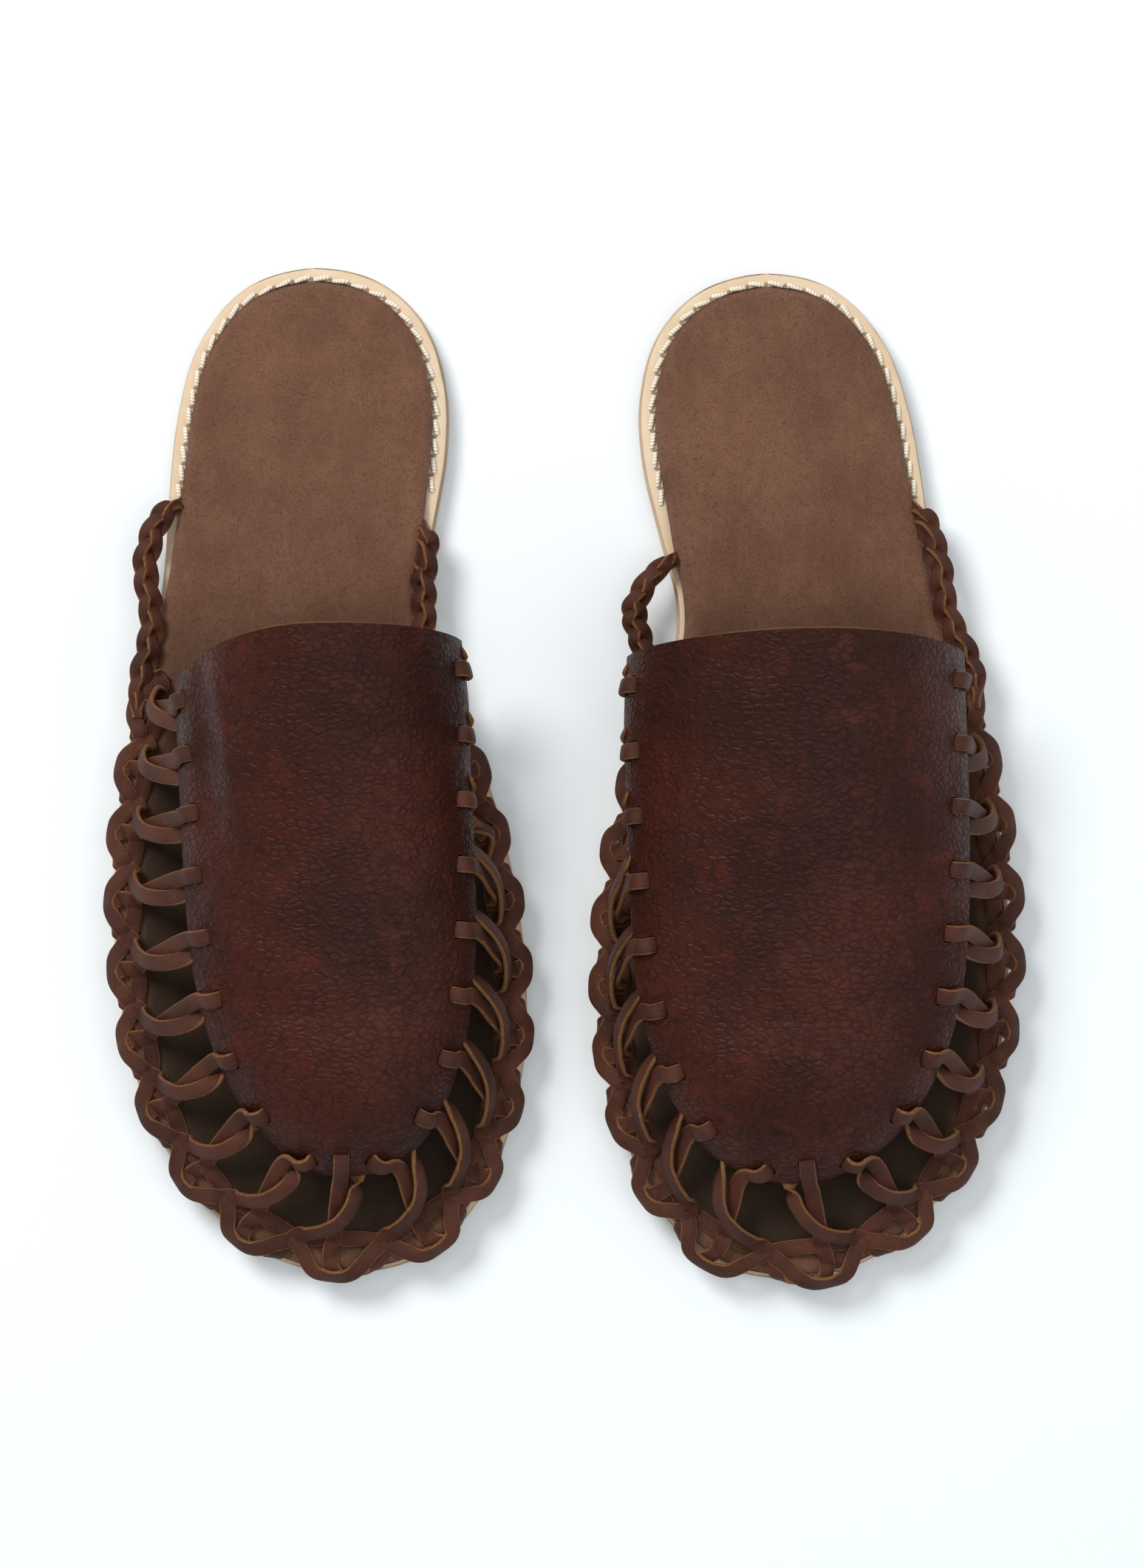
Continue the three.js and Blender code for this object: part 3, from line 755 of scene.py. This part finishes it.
def make_footbed(shoe):
    """The suede footbed: rolled at its edge, a little hollow under the heel and ball, with painted shade
    under the vamp and along the waist.
    """
    points = FOOTBED_OUTLINE

    def height(co, edge):
        fore = -co.y
        roll = mix(2.4, 3.4, smoothstep(fore, 90, 125))
        drop = (FOOTBED_TOP - MIDSOLE_TOP - 0.4) * mix(0.85, 0.45, smoothstep(fore, 90, 125))
        rolled = drop * (1 - math.sqrt(clamp(1 - (1 - clamp(edge / roll)) ** 2)))
        cup = 0.45 * math.exp(-(((co.x + 0.5) / 20) ** 2 + ((fore - 38) / 26) ** 2))
        ball = 0.3 * math.exp(-(((co.x - 4) / 26) ** 2 + ((fore - 185) / 26) ** 2))
        wave = 0.16 * ripple(co, 0.05, shoe.seed) + 0.06 * ripple(co, 0.3, shoe.seed)
        return FOOTBED_TOP - rolled - cup - ball + wave

    bm = bmesh.new()
    soiled = bm.verts.layers.float.new("soiled")
    sole_sheet(bm, points, 170, 50, height)
    # Painted shade: a mask that darkens the suede inside its edge under the vamp, and less along the waist.
    for vert in bm.verts:
        fore, edge = -vert.co.y, edge_distance(vert.co, points)
        inside = smoothstep(edge, 2.5, 9) * smoothstep(fore, 112, 138)
        waist = 0.4 * smoothstep(fore, 78, 104) * smoothstep(edge, 1.5, 6)
        vert[soiled] = max(inside, waist)
    close_below(bm, lambda co: min(FOOTBED_BOTTOM, co.z - 0.5))
    return piece(bm, "footbed_shaped", shoe, [SUEDE], "footbed")


# How a stitch rises over the rim, as (height, share of its length), and sinks back into its holes
STITCH_RISE = [(-0.9, 0.0), (0.15, 0.06), (0.5, 0.2), (0.62, 0.5), (0.5, 0.8), (0.15, 0.94), (-0.9, 1.0)]


def make_seam(shoe):
    """The heel's seam: a run of stitches on top and another in the channel below, and a flat patch of painted
    shade at each of their holes.
    """
    upper, lower, holes = bmesh.new(), bmesh.new(), bmesh.new()
    run = Run(catmull(seam_points(0.95, MIDSOLE_TOP), per_span=6))
    count = round(run.length / STITCH_LENGTH)
    for i in range(count):
        start, end = (i + 0.14) / count, (i + 0.86) / count
        knots = []
        for rise, part in STITCH_RISE:
            place = mix(start, end, part)
            along = run.tangent(place)
            sideways = Vector((along.y, -along.x, 0))
            slant = sideways * (0.9 * (0.5 - part))
            knots.append((run.point(place) + slant + UP * rise, along.cross(sideways)))
        swept(upper, routed(knots, 2), ROUND_SECTION, 1.4, 1.15)
        under = [(point.xy.to_3d() + UP * (0.95 - (point.z - MIDSOLE_TOP) * 0.5), up) for point, up in knots]
        swept(lower, routed(under, 2), ROUND_SECTION, 1.2, 1.0)
        spot, along = run.point(i / count), run.tangent(i / count)
        outwards = Vector((along.y, -along.x, 0))
        flat = outwards.to_track_quat("X", "Z").to_matrix().to_4x4()
        turn = Matrix.Translation(spot + outwards * 0.25 + UP * 0.09) @ flat
        # A thin dark disc at each hole: painted shade for its mouth.
        bmesh.ops.create_cone(
            holes, cap_ends=True, segments=12, radius1=0.62, radius2=0.5, depth=0.12,
            matrix=turn @ Matrix.Diagonal((1.35, 0.7, 1, 1)),
        )
    bmesh.ops.recalc_face_normals(upper, faces=upper.faces)
    bmesh.ops.recalc_face_normals(lower, faces=lower.faces)
    piece(upper, "seam_top_stitches", shoe, [THREAD], "seam_top_thread")
    piece(lower, "seam_lower_stitches", shoe, [THREAD], "seam_lower_thread")
    piece(holes, "seam_hole_painted_shade", shoe, [AWL_HOLE_SHADE])


# ---------------------------------------------------------------- vamp

def ridge_height(fore):
    """Height of the vamp's ridge above the footbed."""
    if fore <= FAN_FORE:
        share = clamp((fore - TOPLINE_FORE) / (FAN_FORE - TOPLINE_FORE))
        return INSTEP_HEIGHT + (FAN_HEIGHT - INSTEP_HEIGHT) * (1.25 * share - 0.25 * share * share)
    tip = VAMP_OUTER_EDGE[-1][1] * SOLE_LENGTH
    reach = min((fore - FAN_FORE) / (tip - FAN_FORE), 1)
    angle = math.asin(reach * math.sin(TOE_ARCH))
    return FAN_HEIGHT - (FAN_HEIGHT - VAMP_TOE_HEIGHT) * (1 - math.cos(angle)) / (1 - math.cos(TOE_ARCH))


def vamp_edge(shoe, side, share):
    run, drop = (OUTER_EDGE_RUN, shoe.corner_drop) if side < 0 else (INNER_EDGE_RUN, 0)
    point = run.point(share)
    point.x = point.x * shoe.vamp_spread + shoe.vamp_shift * SOLE_WIDTH
    point.y -= drop * (1 - share) ** 6
    return point


def vamp_point(shoe, row, across):
    """The vamp's middle surface: row 0 is the topline and 1 the toe, across -1 is the outer edge."""
    share = row * TOE_ROW
    outer, inner = vamp_edge(shoe, -1, share), vamp_edge(shoe, 1, share)
    edge = outer if across < 0 else inner
    arch = ARCH[-1 if across < 0 else 1]
    corners = -(OUTER_EDGE_RUN.point(0).y + INNER_EDGE_RUN.point(0).y) / 2
    lift = (corners + shoe.corner_drop / 2 - TOPLINE_FORE) * (1 - share) ** 3
    spine = Vector(((outer.x + inner.x) / 2, (outer.y + inner.y) / 2 + lift, 0))
    low = mix(VAMP_SIDE_HEIGHT, VAMP_TOE_HEIGHT, smoothstep(share, 0.45, 1))
    top = max(ridge_height(-spine.y), low)
    angle = abs(across) * arch
    reach = math.sin(angle) / math.sin(arch)
    fall = (1 - math.cos(angle)) / (1 - math.cos(arch))
    return Vector((
        spine.x + (edge.x - spine.x) * reach,
        spine.y + (edge.y - spine.y) * fall,
        FOOTBED_TOP + top - (top - low) * fall,
    ))


def vamp_normal(shoe, row, across):
    step = 0.01
    along = vamp_point(shoe, min(row + step, 1), across) - vamp_point(shoe, max(row - step, 0), across)
    over = vamp_point(shoe, row, min(across + step, 1)) - vamp_point(shoe, row, max(across - step, -1))
    return along.cross(over).normalized()


def eyelet(shoe, cell):
    """A slot's middle, the edge point outside it, and its normal, outward and lengthwise directions."""
    share = (cell + 0.5) / CELLS
    side = -1 if share <= 0.5 else 1
    row = min((2 * share if side < 0 else 2 - 2 * share) / TOE_ROW, 1)
    across = float(side)
    if cell == (CELLS - 1) // 2:
        row, across = 1.0, 0.0
        edge = vamp_point(shoe, 1, 0)
        while (vamp_point(shoe, row, 0) - edge).length < EYELET_FROM_EDGE:
            row -= 0.005
    else:
        edge = vamp_point(shoe, row, side)
        while (vamp_point(shoe, row, across) - edge).length < EYELET_FROM_EDGE and abs(across) > 0.01:
            across -= 0.01 * side
    point = vamp_point(shoe, row, across)
    normal = vamp_normal(shoe, row, across)
    outwards = edge - point
    outwards = (outwards - normal * outwards.dot(normal)).normalized()
    return {"point": point, "edge": edge, "normal": normal, "outwards": outwards,
            "along": outwards.cross(normal).normalized()}


def vamp_edge_point(shoe, share):
    """A point on the vamp's lower edge by share of its whole length, outer corner to inner corner."""
    share = clamp(share)
    side = -1 if share <= 0.5 else 1
    row = (2 * share if side < 0 else 2 - 2 * share) / TOE_ROW
    if row < 1:
        return vamp_point(shoe, row, side)
    tip = vamp_point(shoe, 1, 0)
    return vamp_point(shoe, 1, side).lerp(tip, (row - 1) / (1 / TOE_ROW - 1))


def vamp_crease(shoe, point, row, across):
    """How far the leather stands off its smooth shape: slow waves, cross folds and the pinched corner."""
    soft = 0.5 * ripple(point, 0.045, shoe.seed) + 0.22 * ripple(point, 0.13, shoe.seed + 4)
    bend = math.sin(point.y * 0.62 + 2.2 * ripple(point, 0.06, shoe.seed + 9))
    folds = 0.22 * bend * smoothstep(row, 0.25, 0.6) * (1 - smoothstep(row, 0.8, 0.97))
    folds *= 0.4 + 0.6 * abs(across)
    pinch = math.exp(-(((across + 0.46) / 0.1) ** 2)) - 1.2 * math.exp(-(((across + 0.7) / 0.12) ** 2))
    folds += 0.26 * shoe.corner_drop * pinch * (1 - smoothstep(row, 0.08, 0.5))
    return soft + folds * smoothstep(ripple(point, 0.05, shoe.seed + 2), -0.25, 0.35)


def make_vamp(shoe):
    """The vamp: a creased sheet given its thickness, with a slot cut at every eyelet."""
    bm = bmesh.new()
    made = bmesh.ops.create_grid(bm, x_segments=110, y_segments=130, size=0.5)
    for vert in made["verts"]:
        row, across = clamp(0.5 - vert.co.y), clamp(vert.co.x * 2, -1, 1)
        point = vamp_point(shoe, row, across)
        quiet = smoothstep(1 - abs(across), 0, 0.12) * smoothstep(row, 0, 0.05)
        stand = vamp_crease(shoe, point, row, across) * mix(0.35, 1, quiet)
        vert.co = point + vamp_normal(shoe, row, across) * stand
    bmesh.ops.recalc_face_normals(bm, faces=bm.faces)
    if sum(face.normal.z for face in bm.faces) < 0:
        bmesh.ops.reverse_faces(bm, faces=bm.faces)
    vamp = piece(bm, "vamp_shaped", shoe, [VAMP_GRAIN, VAMP_FLESH_PAINTED_SHADE, VAMP_EDGE], "vamp")
    wall = vamp.modifiers.new("wall", "SOLIDIFY")
    wall.thickness = VAMP_THICKNESS * MM
    wall.offset = 0
    wall.material_offset = 1
    wall.material_offset_rim = 2
    bake_modifiers(vamp)
    cut_slots(vamp, shoe)
    return vamp


def cut_slots(vamp, shoe):
    """Cuts the vamp's slots, one for each pass of the vamp lace."""
    cutter = bmesh.new()
    for cell in range(CELLS):
        hole = eyelet(shoe, cell)
        axes = Matrix((hole["along"], hole["outwards"], hole["normal"])).transposed().to_4x4()
        turn = Matrix.Translation(hole["point"]) @ axes
        bmesh.ops.create_cube(cutter, size=1, matrix=turn @ Matrix.Diagonal((LACE_WIDTH + 0.7, 2.9, 9, 1)))
    upright = [edge for edge in cutter.edges if edge.calc_length() > 8]
    bmesh.ops.bevel(cutter, geom=upright, offset=1.2, segments=4, profile=0.5, material=-1, affect="EDGES")
    cut_with(vamp, cutter, shoe)


# ---------------------------------------------------------------- laces

def chain_share(shoe, cell):
    """Where a cell's legs meet the laced edge: halfway between the nearest point and an even share."""
    if not 0 <= cell < CELLS:
        step = chain_share(shoe, 1) - chain_share(shoe, 0)
        if cell < 0:
            return chain_share(shoe, 0) + step * cell
        return chain_share(shoe, CELLS - 1) + step * (cell - CELLS + 1)
    even = (cell + 0.5) / CELLS
    cell_edge = eyelet(shoe, cell)["edge"]
    nearest = min(range(241), key=lambda i: (LACED_EDGE.point(i / 240).xy - cell_edge.xy).length) / 240
    return (even + nearest) / 2


class Lacing:
    """The weave's own coordinates.

    s counts cells along the laced edge, out is past the footbed's edge and up is from the suede.
    """

    def __init__(self, shoe):
        self.shoe = shoe
        self.eyelets = [eyelet(shoe, cell) for cell in range(CELLS)]
        self.shares = {cell: chain_share(shoe, cell) for cell in range(-3, CELLS + 3)}

    def share(self, s):
        low = math.floor(s)
        low = max(-3, min(CELLS + 1, low))
        return mix(self.shares[low], self.shares[low + 1], s - low)

    def chain(self, s, out, up):
        share = self.share(s)
        along = LACED_EDGE.tangent(share)
        outwards = Vector((along.y, -along.x, 0))
        toe = math.exp(-(((share - 0.5) / 0.14) ** 2))
        slack = self.shoe.loosened * (0.85 + 0.15 * math.sin(5.3 * s + self.shoe.seed)) * (1 - 0.5 * toe)
        spread = out - 3.6 * toe * smoothstep(-out, -1.3, 3) + slack
        spot = LACED_EDGE.point(share) + outwards * spread
        return Vector((spot.x, spot.y, FOOTBED_TOP + up))

    def along(self, s):
        return LACED_EDGE.tangent(self.share(s))

    def wall(self, s, high, lift):
        """A point between the chain (high 0) and the vamp's edge (high 1), and the way that wall faces."""
        low, top = self.chain(s, -5.0, 2.6), vamp_edge_point(self.shoe, (s + 0.5) / CELLS)
        slope = top - low
        face = self.along(s).cross(slope).normalized()
        if face.z < 0:
            face = -face
        return low.lerp(top, high) + face * (lift + 1.2 * math.sin(math.pi * clamp(high))), face


# Where the vamp lace runs on its edge round the footbed, from one pass to the next
RIM_RUN = [
    (-0.14, -1.2, 1.4, 0.0), (-0.1, 0.0, 1.2, 0.5), (-0.02, 0.75, -0.3, 1.0), (0.1, 0.9, -0.7, 1.0),
    (0.24, 0.6, -0.2, 1.0), (0.33, -0.6, 1.0, 0.4), (0.38, -2.4, 1.3, 0.0), (0.42, -3.8, 2.2, 0.0),
    (0.47, -4.8, 3.0, 0.0),
]


def vamp_lace_knots(lacing, cell):
    """One pass of the lace: from the chain up over its last leg, under the vamp, up the slot, and down."""
    hole = lacing.eyelets[cell]
    n, out = hole["normal"], hole["outwards"]
    toewards = lacing.along(cell)
    away = Vector((toewards.y, -toewards.x, 0))
    lean = toewards * 0.22
    knots = []
    for s, place, up, stand in RIM_RUN:
        spot = lacing.chain(cell - 1 + s, place, up)
        flat = lacing.along(cell - 1 + s)
        knots.append((spot, UP.lerp(Vector((flat.y, -flat.x, 0)), stand)))
    for s, high, lift, grain in (
        (-0.4, 0.1, 1.6, 1.0), (-0.2, 0.26, 2.8, 0.9), (0.0, 0.44, 2.9, 0.65), (0.18, 0.7, 1.6, 0.3),
    ):
        spot, face = lacing.wall(cell + s, high, lift)
        knots.append((spot, face * grain + away * (1 - grain)))
    dive, face = lacing.wall(cell + 0.3, 1.0, -0.9)
    knots.append((dive, away - UP * 0.3))
    knots.append((dive - out * 3.5 - n * 1.9, away * 0.3 - n))
    knots.append((hole["point"] - n * 2.6 + out * 0.9, -n))
    knots.append((hole["point"] - n * 1.2 - out * 0.1, -out - n * 0.3))
    knots.append((hole["point"] + n * 0.6, -out))
    knots.append((hole["point"] + n * 2.2 + out * 1.0, n - out * 0.7 + lean))
    knots.append((hole["point"] + n * 2.55 + out * 3.2, n + lean))
    knots.append((hole["edge"] + n * 1.9 - out * 0.8, n + lean))
    for s, high, lift in ((-0.03, 0.84, 0.8), (-0.07, 0.55, 0.35), (-0.1, 0.2, 0.8)):
        spot, face = lacing.wall(cell + s, high, lift)
        knots.append((spot, face + lean))
    for s, place, up in ((-0.12, -5.0, 3.1), (-0.13, -3.6, 3.2), (-0.14, -2.3, 2.5), (-0.14, -1.2, 1.4)):
        knots.append((lacing.chain(cell + s, place, up), UP + lean))
    return knots


def make_vamp_lace(shoe, lacing):
    bm = bmesh.new()
    for cell in range(CELLS):
        stations = routed(vamp_lace_knots(lacing, cell))
        swept(bm, stations, STRAP_SECTION, LACE_WIDTH, LACE_THICKNESS, cell * 3.3)
    for side in (-1, 1):
        swept(bm, braid_strand(lacing, side, 2), STRAP_SECTION, TAIL_WIDTH, LACE_THICKNESS, 70 + side)
    bmesh.ops.recalc_face_normals(bm, faces=bm.faces)
    return piece(bm, "vamp_lace_woven", shoe, [LACE], "vamp_lace")


# One swing of a chain lace: cells along, out past the footbed's edge, height, and how far it stands on edge
CHAIN_BEAT = [
    (0.0, 1.75, 0.7, 0.55), (0.16, 1.35, 1.0, 0.45), (0.27, 0.0, 1.8, 0.2), (0.4, -1.6, 2.5, 0.0),
    (0.56, -3.1, 1.2, 0.0), (0.75, -4.3, 1.1, 0.0), (0.95, -5.1, 2.5, 0.0), (1.15, -5.2, 2.0, 0.0),
    (1.4, -4.5, 0.8, 0.0), (1.56, -3.0, 2.3, 0.0), (1.7, -1.1, 2.2, 0.1), (1.84, 0.9, 1.3, 0.4),
]


def chain_knots(lacing, start):
    """One chain lace: every second cell it swings out past the footbed's edge, on its edge, and back."""
    knots = []
    beat = 0
    while start + beat < CELLS - 0.4:
        for s, out, up, stand in CHAIN_BEAT:
            place = start + beat + s - 0.12
            if -0.75 <= place <= CELLS - 0.45:
                flat = lacing.along(place)
                knots.append((lacing.chain(place, out, up), UP.lerp(Vector((flat.y, -flat.x, 0)), stand)))
        beat += 2
    return knots


def make_chain_lace(shoe, lacing, name, start, strand):
    bm = bmesh.new()
    swept(bm, routed(chain_knots(lacing, start), 5), STRAP_SECTION, LACE_WIDTH, LACE_THICKNESS, strand * 11.0)
    for side in (-1, 1):
        stations = braid_strand(lacing, side, strand)
        swept(bm, stations, STRAP_SECTION, TAIL_WIDTH, LACE_THICKNESS, 40 + strand + side)
    bmesh.ops.recalc_face_normals(bm, faces=bm.faces)
    return piece(bm, f"{name}_woven", shoe, [LACE], name)


def braid_strand(lacing, side, strand):
    """One strand of the braided tail beside the waist, from the side of the sole to the first cell."""
    hang = lacing.shoe.tails[side]
    run = Run(catmull([Vector((out, fore, 0)) for fore, out in hang]))
    phase = strand * 2 * math.pi / 3
    knots = []
    count = 30
    for i in range(count + 1):
        share = i / count
        middle = run.point(share)
        turn = share * 2 * math.pi * run.length / PLAIT_LENGTH + phase
        free = smoothstep(share, 0, 0.12) * (1 - smoothstep(share, 0.8, 1))
        out = middle.x + 1.9 * math.sin(turn) * mix(0.35, 1, free)
        plait = 1.25 * math.sin(2 * turn) * mix(0.3, 1, free)
        z = mix(FOOTBED_TOP + 0.6, FOOTBED_TOP + 1.6, share) + plait + free
        z = mix(FOOTBED_BOTTOM + 0.6, z, smoothstep(out, -0.8, 2.6) if share < 0.3 else 1)
        spot = beside_footbed(side, middle.y, out, z)
        ahead = beside_footbed(side, middle.y + 1, out, z) - spot
        outwards = Vector((ahead.y, -ahead.x, 0)).normalized() * (1 if side < 0 else -1)
        knots.append((spot, UP + outwards * (0.9 * math.sin(turn + 1.2))))
    root = beside_footbed(side, hang[0][0] - 0.5 + (strand - 1) * 1.2, -4.5, FOOTBED_BOTTOM + 0.6)
    knots.insert(0, (root, knots[0][1]))
    return routed(knots, 3)


# ---------------------------------------------------------------- the pair

for shoe in shoes:
    make_outsole(shoe)
    make_midsole(shoe)
    make_footbed(shoe)
    make_seam(shoe)
    make_vamp(shoe)
    weave = Lacing(shoe)
    make_vamp_lace(shoe, weave)
    make_chain_lace(shoe, weave, "chain_lace_outer", -2, 0)
    make_chain_lace(shoe, weave, "chain_lace_inner", -1, 1)
    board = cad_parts[f"{shoe.name}_insole_board"]
    board.data.materials.clear()
    board.data.materials.append(BOARD)


# ---------------------------------------------------------------- studio

def make_floor():
    bm = bmesh.new()
    bmesh.ops.create_grid(bm, x_segments=1, y_segments=1, size=4)
    mesh = bpy.data.meshes.new("studio_floor")
    bm.to_mesh(mesh)
    bm.free()
    mesh.materials.append(FLOOR)
    floor = bpy.data.objects.new("studio_floor", mesh)
    bpy.context.collection.objects.link(floor)


def make_light(name, place, size, power, colour):
    lamp = bpy.data.lights.new(name, "AREA")
    lamp.shape = "DISK"
    lamp.size = size
    lamp.energy = power
    lamp.color = colour
    made = bpy.data.objects.new(name, lamp)
    made.location = place
    made.rotation_euler = (-Vector(place)).to_track_quat("-Z", "Y").to_euler()
    bpy.context.collection.objects.link(made)


def make_camera():
    distance = 1.3
    view_height = 0.4246
    lens_height = 36
    camera = bpy.data.cameras.new("camera")
    camera.sensor_fit = "VERTICAL"
    camera.sensor_height = lens_height
    camera.lens = lens_height * (distance - MIDSOLE_TOP * MM) / view_height
    made = bpy.data.objects.new("camera", camera)
    made.location = (0.0027, -0.0021, distance)
    bpy.context.collection.objects.link(made)
    bpy.context.scene.camera = made


make_floor()
make_light("soft_key", (-0.7, 0.8, 1.4), 0.7, 21, (1.0, 0.985, 0.96))
make_light("soft_fill", (0.9, -0.5, 1.3), 1.2, 5, (0.94, 0.97, 1.0))
make_light("soft_top", (0.1, 0.1, 1.9), 1.4, 8, (1, 1, 1))
make_camera()

world = bpy.data.worlds.new("studio")
world.use_nodes = True
world.node_tree.nodes["Background"].inputs["Color"].default_value = (0.93, 0.965, 1.0, 1)
world.node_tree.nodes["Background"].inputs["Strength"].default_value = 0.42
bpy.context.scene.world = world
bpy.context.scene.view_settings.view_transform = "Standard"
